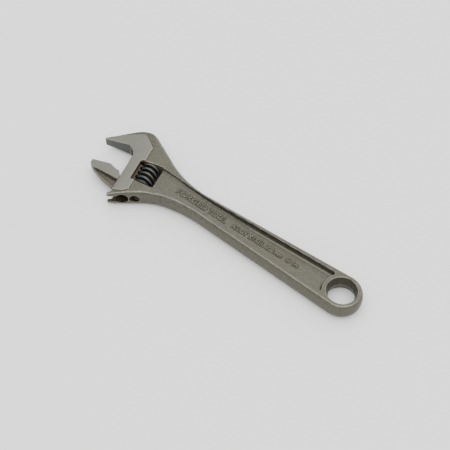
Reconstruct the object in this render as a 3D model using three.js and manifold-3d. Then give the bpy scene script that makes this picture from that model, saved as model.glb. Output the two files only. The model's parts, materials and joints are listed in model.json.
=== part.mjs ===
// Adjustable wrench of the 200 mm (8 inch) class, lying flat with its jaws towards -X.
// Units are millimetres and +Z is up. The forging is drawn about the centre of the hanging
// hole at mid-thickness, and the finished group is then stood on Z = 0 over its own middle.

import * as THREE from 'three';
import { mergeVertices } from 'three/addons/utils/BufferGeometryUtils.js';
import Module from 'manifold-3d';

const wasm = await Module();
wasm.setup();

// ---- Driving dimensions -------------------------------------------------------------

// Head and jaws, measured from the slide: u runs out along the jaws, v along the slide.
const slideReach = 168.3;     // hanging hole to where the slide face crosses the handle's axis
const headAngle = 15;         // lean of the slide from square to the handle, degrees
const jawReach = 24.4;        // slide face to jaw tips
const fixedFace = 12.1;       // v of the fixed jaw's gripping face
const jawGap = 19;            // opening as drawn
const closedGap = 0.1;        // left between the faces when the jaw is wound shut
const tipHalf = 3.05;         // half thickness at the jaw tips
const groundSlope = 0.108;    // rise of the ground flats per millimetre away from the tips
const padHeight = 0.65;       // ground flats stand this far proud of the forging
const padBack = -10.3;        // u of the handle side edge of the ground flats
const headRampStart = -18.2;  // u where the head starts to thin towards the handle
const headRampEnd = -27;      // u where it has come down to the handle
const toeReach = 2.2;         // the slide's lower end stands out this far, split by the neck's slot
const toeTop = -28.4;         // v where it starts to stand out

// Forging.
const handleHalf = 5.8;       // half thickness over the handle's rims
const edgeRound = 2.2;        // how far the forged edges round in from the parting line
const partingLand = 0.3;      // half height of the flat land at the parting line
const endRadius = 13.2;       // round end of the handle
const neckReach = 108;        // hanging hole to the narrowest stretch of the handle
const neckHalf = 8.7;         // half width there

// Channels in the handle's two faces.
const webHalf = 2.0;          // half thickness of the web between the channels
const webHeadHalf = 4.1;      // and beside the window, where the channels are shallower
const webRampStart = 70;      // hanging hole to where the web starts to thicken
const webRampEnd = 135;       // and to where it has reached that thickness
const channelFillet = 1.7;    // spread of the fillet between channel wall and web
const eyeRing = 12.2;         // radius of the boss left round the hanging hole
const channelEnd = 10.4;      // hanging hole to the channel's blunt corners beside that boss
const channelEndHalf = 8.5;   // channel half width there
const channelNeckHalf = 6.2;  // and at the neck

// Hanging hole: two tapers that meet at mid-thickness.
const holeWaist = 8;
const holeTaper = 0.285;      // radius gained per millimetre from mid-thickness

// Worm, its window and its pin.
const wormAxis = -15;         // u of the worm's axis
const wormRadius = 6.25;
const threadDepth = 2.3;
const threadPitch = 3.75;     // single start, left hand
const wormChamfer = 0.8;
const crestHalf = 0.55;       // half width of the thread's crest
const flankAngle = 20;        // degrees
const windowLow = -14.6;      // v of the window's two end walls
const windowHigh = 2.4;
const windowJawRoom = 1.45;   // from the worm to the window's two side walls
const windowHandleRoom = 2.35;
const windowCorner = 1.2;     // cut across the corner next to the jaws
const wormEndPlay = 0.3;      // left at each end of the worm
const pinRadius = 1.9;
const pinHeadRadius = 2.9;
const pinHeadLength = 2.4;
const pinHeadChamfer = 0.3;
const pinTipChamfer = 0.5;
const pinHeadFace = -23.5;    // v of the pin head's outer face
const threadStart = -5.4;     // v of a crest on the side that faces the rack, jaw as drawn
const pinGrip = 6.2;          // depth of the pin in the far wall of the window
const driverSlot = 0.9;       // width and depth of the screwdriver slot

// Movable jaw's bar and neck, and the keyhole that guides them.
const barAxis = -7.2;         // u of the round bar
const barRadius = 3.8;
const barLead = 7.7;          // the bar's inner end lies this far past the gripping face
const neckThickness = 4.6;
const neckLag = 4.1;          // the neck's inner end lies this far short of it
const slotMouth = 5;          // u the neck's slot runs out to, past the toe and the throat's relief
const jawShoulder = 7.4;      // gripping face down to where the jaw rests on the slide
const jawDepth = 16;          // gripping face down to the jaw's foot
const jawWebHalf = 1.3;       // half thickness of the web at the jaw's back
const jawRim = 0.9;           // width of the rim along that web
const jawRimStep = 0.3;       // the rim stands this far proud of the web and clears the toe's slot

// Spring between the worm and the far wall of the window.
const springWire = 0.35;      // wire radius
const springCoil = 2.6;       // coil radius, to the middle of the wire
const springTurns = 2;
const springSeat = 2.7;       // depth of the seat in the worm

// Clearances.
const runFit = 0.3;           // round and flat sliding fits
const meshFit = 0.28;         // beside and under the worm's thread
const endFit = 0.7;           // beyond the bar when the jaw is shut
const slotRunOut = 2.8;       // beyond the neck, where the slot's cutter ran out into the throat
const springFit = 0.1;        // at each end of the spring

const farOut = 60;            // how far cutters run past what they cut
const overlap = 1;            // how far solids that become one run into each other
const roundSides = 36;
const holeSides = 56;
const threadSteps = 24;       // facets in one turn of the worm's thread
const springSteps = 24;

// ---- Values that follow ----------------------------------------------------------------

const tilt = THREE.MathUtils.degToRad(headAngle);
const jawOut = new THREE.Vector3(-Math.cos(tilt), -Math.sin(tilt), 0);
const slideUp = new THREE.Vector3(-Math.sin(tilt), Math.cos(tilt), 0);
const up = new THREE.Vector3(0, 0, 1);
const closing = jawGap - closedGap;
const movingFace = fixedFace - jawGap;
const barTop = movingFace + barLead;
const neckTop = movingFace - neckLag;
const jawFoot = movingFace - jawDepth;
const headHalf = groundHalf(padBack) - padHeight;
const wormLow = windowLow + wormEndPlay;
const wormHigh = windowHigh - wormEndPlay;
const wormRoot = wormRadius - threadDepth;
const toothTop = wormAxis + wormRoot + meshFit;
const grooveBottom = wormAxis + wormRadius + meshFit;
const windowJawSide = wormAxis + wormRadius + windowJawRoom;
const windowHandleSide = wormAxis - wormRadius - windowHandleRoom;
const pinBore = pinRadius + runFit;
const boreEnd = barTop + closing + endFit;
const slotEnd = neckTop + closing + slotRunOut;

/** Half thickness over the ground flats, which taper towards the jaw tips. */
function groundHalf(u) {
  return tipHalf + groundSlope * (jawReach - u);
}

// ---- Solids --------------------------------------------------------------------------------

/** A closed three.js geometry as a solid, whichever way its faces were wound. */
function solid(geometry) {
  const bare = geometry.clone();
  bare.deleteAttribute('normal');
  bare.deleteAttribute('uv');
  const merged = mergeVertices(bare, 1e-4);
  const corner = merged.index.array;
  const kept = [];
  for (let i = 0; i < corner.length; i += 3) {
    const [a, b, c] = [corner[i], corner[i + 1], corner[i + 2]];
    if (a !== b && b !== c && c !== a) kept.push(a, b, c);
  }
  const vertProperties = new Float32Array(merged.attributes.position.array);
  if (signedVolume(vertProperties, kept) < 0) kept.reverse();
  const triVerts = new Uint32Array(kept);
  return new wasm.Manifold(new wasm.Mesh({ numProp: 3, vertProperties, triVerts }));
}

function signedVolume(position, corner) {
  const [a, b, c] = [new THREE.Vector3(), new THREE.Vector3(), new THREE.Vector3()];
  let total = 0;
  for (let i = 0; i < corner.length; i += 3) {
    a.fromArray(position, corner[i] * 3);
    b.fromArray(position, corner[i + 1] * 3);
    c.fromArray(position, corner[i + 2] * 3);
    total += a.dot(b.cross(c)) / 6;
  }
  return total;
}

/** A point of the slide's frame, in the plane of the wrench. */
function slidePoint(u, v) {
  return new THREE.Vector2(
    -slideReach + u * jawOut.x + v * slideUp.x,
    u * jawOut.y + v * slideUp.y,
  );
}

function slideOutline(points) {
  return new THREE.Shape(points.map(([u, v]) => slidePoint(u, v)));
}

/** A plate with the given outline, between two heights. */
function plate(outline, low, high) {
  const geometry = new THREE.ExtrudeGeometry(outline, { depth: high - low, bevelEnabled: false });
  return solid(geometry.translate(0, 0, low));
}

/** A section drawn across the slide, in u and z, run along it from one v to another. */
function runAlongSlide(section, low, high) {
  const geometry = new THREE.ExtrudeGeometry(section, { depth: high - low, bevelEnabled: false });
  const foot = slidePoint(0, low);
  const frame = new THREE.Matrix4().makeBasis(jawOut, up, slideUp).setPosition(foot.x, foot.y, 0);
  return solid(geometry.applyMatrix4(frame));
}

/** A shape turned about a line along the slide at the given u, from [radius, v] points. */
function turnedAlongSlide(u, profile, sides = roundSides) {
  const points = profile.map(([radius, v]) => new THREE.Vector2(radius, v));
  const geometry = new THREE.LatheGeometry(points, sides);
  const foot = slidePoint(u, 0);
  const frame = new THREE.Matrix4().makeBasis(jawOut, slideUp, up.clone().negate());
  return solid(geometry.applyMatrix4(frame.setPosition(foot.x, foot.y, 0)));
}

function rodAlongSlide(u, radius, low, high, sides = roundSides) {
  return turnedAlongSlide(u, [[0, low], [radius, low], [radius, high], [0, high]], sides);
}

/**
 * A left-hand helix about a line along the slide. The section is drawn in radius and v, and
 * is carried round as v falls by one pitch a turn; it starts facing the jaws.
 */
function helixAlongSlide(u, section, pitch, firstTurn, turns, stepsPerTurn) {
  const steps = Math.round(turns * stepsPerTurn);
  const bar = new THREE.ExtrudeGeometry(section, { depth: turns, steps, bevelEnabled: false });
  const place = bar.attributes.position;
  for (let i = 0; i < place.count; i++) {
    const [radius, v, turn] = [place.getX(i), place.getY(i), place.getZ(i) + firstTurn];
    const angle = 2 * Math.PI * turn;
    place.setXYZ(i, radius * Math.cos(angle), radius * Math.sin(angle), v - pitch * turn);
  }
  const foot = slidePoint(u, 0);
  const frame = new THREE.Matrix4().makeBasis(jawOut, up, slideUp).setPosition(foot.x, foot.y, 0);
  return solid(bar.applyMatrix4(frame));
}

// ---- Wrench body -------------------------------------------------------------------------

/** Outline of the forging at its parting line, jaw gap not yet cut. */
function forgingOutline() {
  const taper = Math.atan2(endRadius - neckHalf, neckReach);
  const quarter = Math.PI / 2 + taper;
  const outline = new THREE.Shape();
  outline.absarc(0, 0, endRadius, -quarter, quarter, false);
  outline.lineTo(-neckReach, neckHalf);
  flareTo(outline, [14, -0.4], slidePoint(-26.2, 10.6), [-12.5, -6.1]);
  lineTo(outline, -10.4, 24.4);
  curveTo(outline, [-6.2, 28.2], [-1.6, 27.9]);
  curveTo(outline, [3.6, 27.6], [8.2, 24.4]);
  curveTo(outline, [16.4, 19.3], [jawReach, fixedFace + 1.3]);
  lineTo(outline, jawReach + 7, fixedFace - 4);
  lineTo(outline, jawReach + 7, fixedFace - 12);
  lineTo(outline, 8, fixedFace - 12);
  lineTo(outline, 8, -34.6);
  lineTo(outline, -20, -23.2);
  const shoulder = slidePoint(-20, -23.2);
  outline.bezierCurveTo(
    shoulder.x + 7.5, shoulder.y + 5.4,
    -neckReach - 16, -neckHalf - 0.4,
    -neckReach, -neckHalf,
  );
  return outline;
}

/** Leave the neck level and arrive at the head's straight shoulder. */
function flareTo(outline, leave, end, arrive) {
  outline.bezierCurveTo(
    -neckReach - leave[0], neckHalf + leave[1],
    end.x - arrive[0], end.y + arrive[1],
    end.x, end.y,
  );
}

function lineTo(outline, u, v) {
  const point = slidePoint(u, v);
  outline.lineTo(point.x, point.y);
}

function curveTo(outline, via, end) {
  const [a, b] = [slidePoint(...via), slidePoint(...end)];
  outline.quadraticCurveTo(a.x, a.y, b.x, b.y);
}

/** The forging at one thickness, its edges rounded in to the parting line from both faces. */
function forgedBlank(half) {
  const geometry = new THREE.ExtrudeGeometry(forgingOutline(), {
    depth: 2 * partingLand,
    bevelThickness: half - partingLand,
    bevelSize: edgeRound,
    bevelOffset: -edgeRound,
    bevelSegments: 4,
    curveSegments: 12,
  });
  return solid(geometry.translate(0, 0, -partingLand));
}

/** Section over the head: thins towards the handle and again towards the jaw tips. */
function headSection() {
  const tip = groundHalf(jawReach) - padHeight;
  const side = [
    [headRampEnd, handleHalf - 0.2],
    [headRampStart, headHalf],
    [padBack, headHalf],
    [jawReach, tip],
    [jawReach + overlap, tip],
  ];
  return mirroredSection(side);
}

/** Section between the two ground flats, from one u out past the jaw tips. */
function groundSection(from) {
  const to = jawReach + overlap;
  return mirroredSection([[from, groundHalf(from)], [to, groundHalf(to)]]);
}

/** A section symmetric about mid-thickness, from [u, half thickness] points. */
function mirroredSection(side) {
  const lower = side.map(([u, half]) => new THREE.Vector2(u, -half));
  const upper = side.map(([u, half]) => new THREE.Vector2(u, half)).reverse();
  return new THREE.Shape([...lower, ...upper]);
}

/** Ground flats on the head and the fixed jaw. */
function groundPads() {
  const outline = slideOutline([
    [8, toeTop], [8, fixedFace - 8], [jawReach + overlap, fixedFace - 8],
    [jawReach + overlap, fixedFace + 0.5], [20.6, 15.6], [12.4, 19.6], [6.6, 22.1],
    [-0.2, 24], [-3, 21.9], [padBack, 14.2], [padBack, -22.9], [-6.3, -25.6],
  ]);
  const flats = runAlongSlide(groundSection(padBack), -farOut, farOut);
  return plate(outline, -farOut, farOut).intersect(flats);
}

/** Everything between the jaws and beyond their tips; leaves the throat's relief and the toe. */
function jawGapCutter() {
  const outline = slideOutline([
    [toeReach - 1.3, -farOut], [toeReach - 1.3, toeTop - 3.6], [toeReach, toeTop - 2.5],
    [toeReach, toeTop - 1.3], [0, toeTop],
    [0, fixedFace - 6.9], [2.4, fixedFace - 2.7], [6.3, fixedFace],
    [jawReach, fixedFace], [jawReach, farOut],
    [jawReach + farOut, farOut], [jawReach + farOut, -farOut],
  ]);
  return plate(outline, -farOut, farOut);
}

/** Outline of a handle channel at the rims: from the eye, in to the neck, out to the window. */
function channelOutline() {
  const mouth = windowJawSide - 1.5;
  const [nearJaw, farJaw] = [slidePoint(mouth, windowLow), slidePoint(mouth, windowHigh)];
  const lowMouth = slidePoint(windowHandleSide, windowLow - 1.6);
  const highMouth = slidePoint(-20, windowHigh);
  const outline = new THREE.Shape();
  outline.moveTo(-channelEnd, -channelEndHalf);
  outline.lineTo(-channelEnd, channelEndHalf);
  outline.lineTo(-neckReach + 8, channelNeckHalf);
  outline.bezierCurveTo(
    -neckReach - 14, channelNeckHalf - 0.6,
    highMouth.x + 14, highMouth.y + 0.8,
    highMouth.x, highMouth.y,
  );
  outline.lineTo(farJaw.x, farJaw.y);
  outline.lineTo(nearJaw.x, nearJaw.y);
  outline.lineTo(lowMouth.x, lowMouth.y);
  outline.bezierCurveTo(
    lowMouth.x + 12, lowMouth.y + 1.3,
    -neckReach - 12, -channelNeckHalf - 0.3,
    -neckReach + 8, -channelNeckHalf,
  );
  return outline;
}

/** Cutter for the upper channel; the lower one is the same, mirrored about mid-thickness. */
function channelCutter() {
  const wall = handleHalf - webHalf;
  return new THREE.ExtrudeGeometry(channelOutline(), {
    depth: handleHalf,
    bevelThickness: wall,
    bevelSize: channelFillet,
    bevelOffset: -channelFillet,
    bevelSegments: 4,
    curveSegments: 12,
  }).translate(0, 0, handleHalf);
}

/** What stays round the hanging hole, spreading in a fillet to the web. */
function eyeBoss() {
  const wall = handleHalf - webHalf;
  const steps = 4;
  const side = [];
  for (let i = 0; i <= steps; i++) {
    const angle = (i / steps) * Math.PI / 2;
    const radius = eyeRing + channelFillet * (1 - Math.cos(angle));
    side.push(new THREE.Vector2(radius, handleHalf - wall * Math.sin(angle)));
  }
  const upper = [new THREE.Vector2(0, farOut), new THREE.Vector2(eyeRing, farOut), ...side];
  const lower = upper.map((point) => new THREE.Vector2(point.x, -point.y)).reverse();
  return solid(new THREE.LatheGeometry([...upper, ...lower], holeSides).rotateX(Math.PI / 2));
}

/** The web with its thicker stretch towards the head, as a slab wider than the handle. */
function rampedWeb() {
  const side = [
    [-slideReach - farOut, webHeadHalf], [-webRampEnd, webHeadHalf],
    [-webRampStart, webHalf], [farOut, webHalf],
  ];
  const depth = 2 * farOut;
  const geometry = new THREE.ExtrudeGeometry(mirroredSection(side), { depth, bevelEnabled: false });
  return solid(geometry.translate(0, 0, -farOut).rotateX(Math.PI / 2));
}

function bothChannels() {
  const upper = channelCutter();
  const lower = upper.clone().translate(0, 0, -3 * handleHalf);
  return solid(upper).add(solid(lower)).subtract(eyeBoss()).subtract(rampedWeb());
}

function wormWindow() {
  const outline = slideOutline([
    [windowJawSide, windowLow], [windowJawSide, windowHigh - windowCorner],
    [windowJawSide - windowCorner, windowHigh],
    [windowHandleSide, windowHigh], [windowHandleSide, windowLow],
  ]);
  return plate(outline, -farOut, farOut);
}

function hangingHole() {
  const reach = 2 * handleHalf;
  const wide = holeWaist + holeTaper * reach;
  const profile = [[0, -reach], [wide, -reach], [holeWaist, 0], [wide, reach], [0, reach]];
  const points = profile.map(([radius, z]) => new THREE.Vector2(radius, z));
  return solid(new THREE.LatheGeometry(points, holeSides).rotateX(Math.PI / 2));
}

/** Round bore for the bar, open to the slide face through a slot for the neck. */
function keyhole() {
  const half = neckThickness / 2 + runFit;
  const slot = mirroredSection([[barAxis, half], [slotMouth, half]]);
  const bore = rodAlongSlide(barAxis, barRadius + runFit, -farOut, boreEnd);
  return bore.add(runAlongSlide(slot, -farOut, slotEnd));
}

function pinHoles() {
  const seat = pinHeadFace + pinHeadLength + runFit;
  const through = rodAlongSlide(wormAxis, pinBore, seat - overlap, windowHigh + pinGrip + runFit);
  return through.add(rodAlongSlide(wormAxis, pinHeadRadius + runFit, -farOut, seat));
}

function wrenchBody() {
  const beyondEye = -slideReach - farOut;
  const handleSide = mirroredSection([[beyondEye, farOut], [headRampStart, farOut]]);
  const handle = forgedBlank(handleHalf).intersect(runAlongSlide(handleSide, beyondEye, -beyondEye));
  const head = forgedBlank(headHalf).intersect(runAlongSlide(headSection(), -farOut, farOut));
  return handle.add(head)
    .add(groundPads())
    .subtract(jawGapCutter())
    .subtract(bothChannels())
    .subtract(wormWindow())
    .subtract(hangingHole())
    .subtract(keyhole())
    .subtract(pinHoles());
}

// ---- Movable jaw ---------------------------------------------------------------------------

/** The jaw in plan: gripping face, relief beside the slide, and its curved back. */
function jawOutline() {
  const outline = new THREE.Shape();
  const start = slidePoint(runFit, movingFace - jawShoulder);
  outline.moveTo(start.x, start.y);
  lineTo(outline, 2.6, movingFace - 3.8);
  lineTo(outline, 5.6, movingFace - 2.9);
  lineTo(outline, 10.8, movingFace);
  lineTo(outline, jawReach - 0.2, movingFace);
  lineTo(outline, jawReach, movingFace - 2.9);
  curveTo(outline, [19.4, movingFace - 7.7], [12.4, movingFace - 11.4]);
  curveTo(outline, [6.6, movingFace - 14.2], [runFit, jawFoot]);
  return outline;
}

/** The hollow behind the gripping face, leaving a rim along the jaw's back. */
function jawHollow() {
  const outline = new THREE.Shape();
  const start = slidePoint(-1, movingFace - 11.3);
  outline.moveTo(start.x, start.y);
  lineTo(outline, 3, movingFace - 10.2);
  lineTo(outline, 20.6, movingFace - 5.7);
  lineTo(outline, 21.6, movingFace - 6);
  curveTo(outline, [18.2, movingFace - 7.7 + jawRim], [12.2, movingFace - 11.3 + jawRim]);
  curveTo(outline, [6.2, movingFace - 14.1 + jawRim], [-1, jawFoot + jawRim - 0.6]);
  return plate(outline, -farOut, farOut).subtract(plate(outline, -jawWebHalf, jawWebHalf));
}

/** The back of the jaw is thinner than the face side, all the way to its edge. */
function jawBackRelief() {
  const rimHalf = jawWebHalf + jawRimStep;
  const outline = slideOutline([
    [-1, movingFace - 11.3], [3, movingFace - 10.2], [jawReach - 3.8, movingFace - 5.7],
    [jawReach + 3, movingFace - 4.6], [jawReach + 3, movingFace - farOut], [-1, movingFace - farOut],
  ]);
  return plate(outline, -farOut, farOut).subtract(plate(outline, -rimHalf, rimHalf));
}

/** One groove between rack teeth, a worm thread's section with room round it. */
function rackGroove(v) {
  const spread = Math.tan(THREE.MathUtils.degToRad(flankAngle));
  const lean = threadPitch / (2 * Math.PI * (wormRadius - threadDepth / 2));
  const mouth = barAxis - barRadius - overlap;
  const narrow = crestHalf + meshFit;
  const wide = narrow + (grooveBottom - mouth) * spread;
  const reach = barRadius + overlap;
  const outline = slideOutline([
    [grooveBottom, v - narrow], [grooveBottom, v + narrow], [mouth, v + wide], [mouth, v - wide],
  ]);
  const geometry = new THREE.ExtrudeGeometry(outline, { depth: 2 * reach, bevelEnabled: false });
  geometry.translate(0, 0, -reach);
  const shear = new THREE.Matrix4().set(
    1, 0, -lean * slideUp.x, 0,
    0, 1, -lean * slideUp.y, 0,
    0, 0, 1, 0,
    0, 0, 0, 1,
  );
  return solid(geometry.applyMatrix4(shear));
}

/** Round bar with a rack cut along the side that faces the worm. */
function rackBar() {
  let bar = rodAlongSlide(barAxis, barRadius, jawFoot, barTop);
  const first = Math.floor((jawFoot - threadStart) / threadPitch);
  const last = Math.ceil((barTop - threadStart) / threadPitch);
  for (let tooth = first; tooth <= last; tooth++) {
    bar = bar.subtract(rackGroove(threadStart + tooth * threadPitch));
  }
  const pastTeeth = mirroredSection([[wormAxis, barRadius], [toothTop, barRadius]]);
  return bar.subtract(runAlongSlide(pastTeeth, -farOut, farOut));
}

/** Plate between the jaw and the round bar; above the shoulder it stops short of the slide. */
function jawNeck() {
  const half = neckThickness / 2;
  const shoulder = movingFace - jawShoulder;
  const lower = mirroredSection([[barAxis, half], [runFit + overlap, half]]);
  const upper = mirroredSection([[barAxis, half], [-runFit, half]]);
  return runAlongSlide(lower, jawFoot, shoulder).add(runAlongSlide(upper, shoulder - overlap, neckTop));
}

function movableJaw() {
  const jaw = plate(jawOutline(), -farOut, farOut)
    .intersect(runAlongSlide(groundSection(0), -farOut, farOut))
    .subtract(jawBackRelief())
    .subtract(jawHollow());
  return jaw.add(jawNeck()).add(rackBar());
}

// ---- Worm, pin and spring ------------------------------------------------------------------

/** Left-hand worm with a seat for the spring at its far end. */
function adjustingWorm() {
  const spread = Math.tan(THREE.MathUtils.degToRad(flankAngle));
  const sunk = overlap / 2;
  const base = crestHalf + (threadDepth + sunk) * spread;
  const section = new THREE.Shape([
    new THREE.Vector2(wormRoot - sunk, -base), new THREE.Vector2(wormRadius, -crestHalf),
    new THREE.Vector2(wormRadius, crestHalf), new THREE.Vector2(wormRoot - sunk, base),
  ]);
  const above = Math.ceil((wormHigh - threadStart) / threadPitch) + 1;
  const below = Math.ceil((threadStart - wormLow) / threadPitch) + 1;
  const thread = helixAlongSlide(wormAxis, section, threadPitch, -above, above + below, threadSteps)
    .translate([slideUp.x * threadStart, slideUp.y * threadStart, 0]);
  const rim = wormRadius - wormChamfer;
  const outside = wormRadius + overlap;
  const envelope = turnedAlongSlide(wormAxis, [
    [0, wormLow], [rim, wormLow], [outside, wormLow + wormChamfer + overlap],
    [outside, wormHigh - wormChamfer - overlap], [rim, wormHigh], [0, wormHigh],
  ], threadSteps);
  const core = rodAlongSlide(wormAxis, wormRoot, wormLow, wormHigh, threadSteps);
  const seat = springCoil + springWire + runFit;
  return core
    .add(thread)
    .intersect(envelope)
    .subtract(rodAlongSlide(wormAxis, pinBore, -farOut, farOut, threadSteps))
    .subtract(rodAlongSlide(wormAxis, seat, wormHigh - springSeat, farOut, threadSteps));
}

/** The pin the worm turns on, with its slotted head near the lower end of the slide. */
function wormPin() {
  const shoulder = pinHeadFace + pinHeadLength;
  const tip = windowHigh + pinGrip;
  const pin = turnedAlongSlide(wormAxis, [
    [0, pinHeadFace], [pinHeadRadius - pinHeadChamfer, pinHeadFace],
    [pinHeadRadius, pinHeadFace + pinHeadChamfer], [pinHeadRadius, shoulder], [pinRadius, shoulder],
    [pinRadius, tip - pinTipChamfer], [pinRadius - pinTipChamfer, tip], [0, tip],
  ]);
  const slot = slideOutline([
    [wormAxis - farOut, pinHeadFace - overlap], [wormAxis + farOut, pinHeadFace - overlap],
    [wormAxis + farOut, pinHeadFace + driverSlot], [wormAxis - farOut, pinHeadFace + driverSlot],
  ]);
  return pin.subtract(plate(slot, -driverSlot / 2, driverSlot / 2));
}

/** Coil spring round the pin, between the worm's seat and the far wall of the window. */
function wormSpring() {
  const round = new THREE.Shape();
  round.absarc(springCoil, 0, springWire, 0, 2 * Math.PI, false);
  const wire = new THREE.Shape(round.getPoints(3).slice(0, -1));
  const low = wormHigh - springSeat + springWire + springFit;
  const high = windowHigh - springWire - springFit;
  const pitch = (high - low) / springTurns;
  return helixAlongSlide(wormAxis, wire, pitch, 0, springTurns, springSteps)
    .translate([slideUp.x * high, slideUp.y * high, 0]);
}

// ---- Scene ---------------------------------------------------------------------------------

function part(name, shape, colour, roughness) {
  const { vertProperties, triVerts } = shape.getMesh();
  const geometry = new THREE.BufferGeometry();
  geometry.setAttribute('position', new THREE.BufferAttribute(vertProperties, 3));
  geometry.setIndex(new THREE.BufferAttribute(triVerts, 1));
  geometry.computeVertexNormals();
  const material = new THREE.MeshStandardMaterial({ color: colour, roughness, metalness: 0.85 });
  const mesh = new THREE.Mesh(geometry, material);
  mesh.name = name;
  return mesh;
}

const assembly = new THREE.Group();
assembly.add(part('wrench_body', wrenchBody(), 0x77736a, 0.55));
assembly.add(part('movable_jaw', movableJaw(), 0x8a8880, 0.5));
assembly.add(part('adjusting_worm', adjustingWorm(), 0x24241f, 0.45));
assembly.add(part('worm_pin', wormPin(), 0x2c2c28, 0.45));
assembly.add(part('worm_spring', wormSpring(), 0x55554f, 0.4));

const box = new THREE.Box3().setFromObject(assembly);
assembly.position.set(-(box.min.x + box.max.x) / 2, -(box.min.y + box.max.y) / 2, -box.min.z);

const wrench = new THREE.Group();
wrench.add(assembly);

export default wrench;
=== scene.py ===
"""Adjustable wrench: the finished look of its five pieces, and the studio they lie in."""

import json
import math

import bpy
import numpy as np
from bpy.props import FloatProperty, FloatVectorProperty, IntProperty, PointerProperty
from mathutils import Matrix, Vector


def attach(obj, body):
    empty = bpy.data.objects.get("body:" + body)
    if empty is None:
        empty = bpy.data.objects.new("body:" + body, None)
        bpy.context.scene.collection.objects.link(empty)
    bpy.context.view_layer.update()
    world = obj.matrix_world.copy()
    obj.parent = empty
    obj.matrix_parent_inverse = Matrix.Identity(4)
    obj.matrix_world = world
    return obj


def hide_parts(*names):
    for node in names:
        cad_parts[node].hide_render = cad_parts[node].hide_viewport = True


bl_info = {
    "name": "Adjustable wrench",
    "version": (1, 0, 0),
    "blender": (4, 5, 0),
    "location": "View3D > Sidebar > Wrench",
    "description": "Models an adjustable wrench on its packed frame, and the studio it lies in",
    "category": "Object",
}

MM = 0.001

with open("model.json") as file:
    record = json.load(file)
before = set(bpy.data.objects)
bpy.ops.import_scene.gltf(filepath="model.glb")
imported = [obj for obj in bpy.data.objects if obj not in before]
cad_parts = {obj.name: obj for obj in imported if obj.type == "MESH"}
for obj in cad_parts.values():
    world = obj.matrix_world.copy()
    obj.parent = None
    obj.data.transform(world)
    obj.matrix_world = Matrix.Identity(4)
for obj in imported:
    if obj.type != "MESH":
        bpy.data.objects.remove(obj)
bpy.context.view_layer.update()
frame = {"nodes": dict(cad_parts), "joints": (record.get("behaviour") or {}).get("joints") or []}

# The slide's own directions, taken from the worm's joint.
worm_joint = next(joint for joint in frame["joints"] if joint["name"] == "worm_spin")
SLIDE_UP = Vector(worm_joint["axis"]).normalized()
UP = Vector((0.0, 0.0, 1.0))
JAW_OUT = UP.cross(SLIDE_UP).normalized()
WORM_CENTRE = Vector(worm_joint["pos_m"])
MID_HEIGHT = WORM_CENTRE.z
HANDLE_MIDDLE = 1.52 * MM

# Places in the slide's own directions: u is measured from the slide's face, v from the worm's centre.
WORM_U = -15 * MM
BAR_U = -7.2 * MM
SLOT_U = (-8 * MM, 4.6 * MM)
WINDOW_U = (-24 * MM, -7 * MM)
GROUND_U = -10.8 * MM
JAW_REACH = 24.4 * MM
FIXED_FACE_V = 12.1 * MM
MOVABLE_FACE_V = -6.9 * MM
BORE_END_V = 21 * MM
SLOT_END_V = 10.9 * MM
PIN_HEAD_END_V = -15 * MM
WINDOW_V = (-14.9 * MM, 2.7 * MM)

# The ground flats: half the thickness at the jaws' tips, and how fast it grows towards the handle.
TIP_HALF = 3.05 * MM
JAW_LEAN = 0.108

# How far a finish reaches from an axis or from mid-thickness, each a little over the real size.
BORE_RADIUS = 4.25 * MM
PIN_HEAD_RADIUS = 3.35 * MM
SLOT_HALF = 2.75 * MM
HOLLOW_HALF = 1.75 * MM

# A face that lies this close to a plane counts as part of it.
NEAR = 0.3 * MM

# The stretch of the handle that carries the words.
WORDS_ALONG = (-38 * MM, 60 * MM)
WORDS_HALF = 3.4 * MM

# Raised words: text, place of its middle along the handle, width and height, in millimetres.
FRONT_WORDS = (
    ("FORGED", -24.7, 24.0, 5.4), ("TOOL", -4.2, 14.0, 5.4),
    ("ALLOY", 13.6, 11.6, 4.0), ("STEEL", 27.0, 11.6, 4.0),
    ("200 mm", 40.6, 12.0, 4.0), ("8 in", 54.4, 8.6, 4.0),
)
BACK_WORDS = (
    ("OPENS", -26.0, 20.0, 5.0), ("TO", -8.5, 7.6, 5.0), ("27 mm", 8.6, 17.0, 5.0),
    ("HARDENED", 34.0, 21.0, 4.0), ("JAWS", 54.0, 10.6, 4.0),
)


# ---- Settings --------------------------------------------------------------------------


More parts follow.
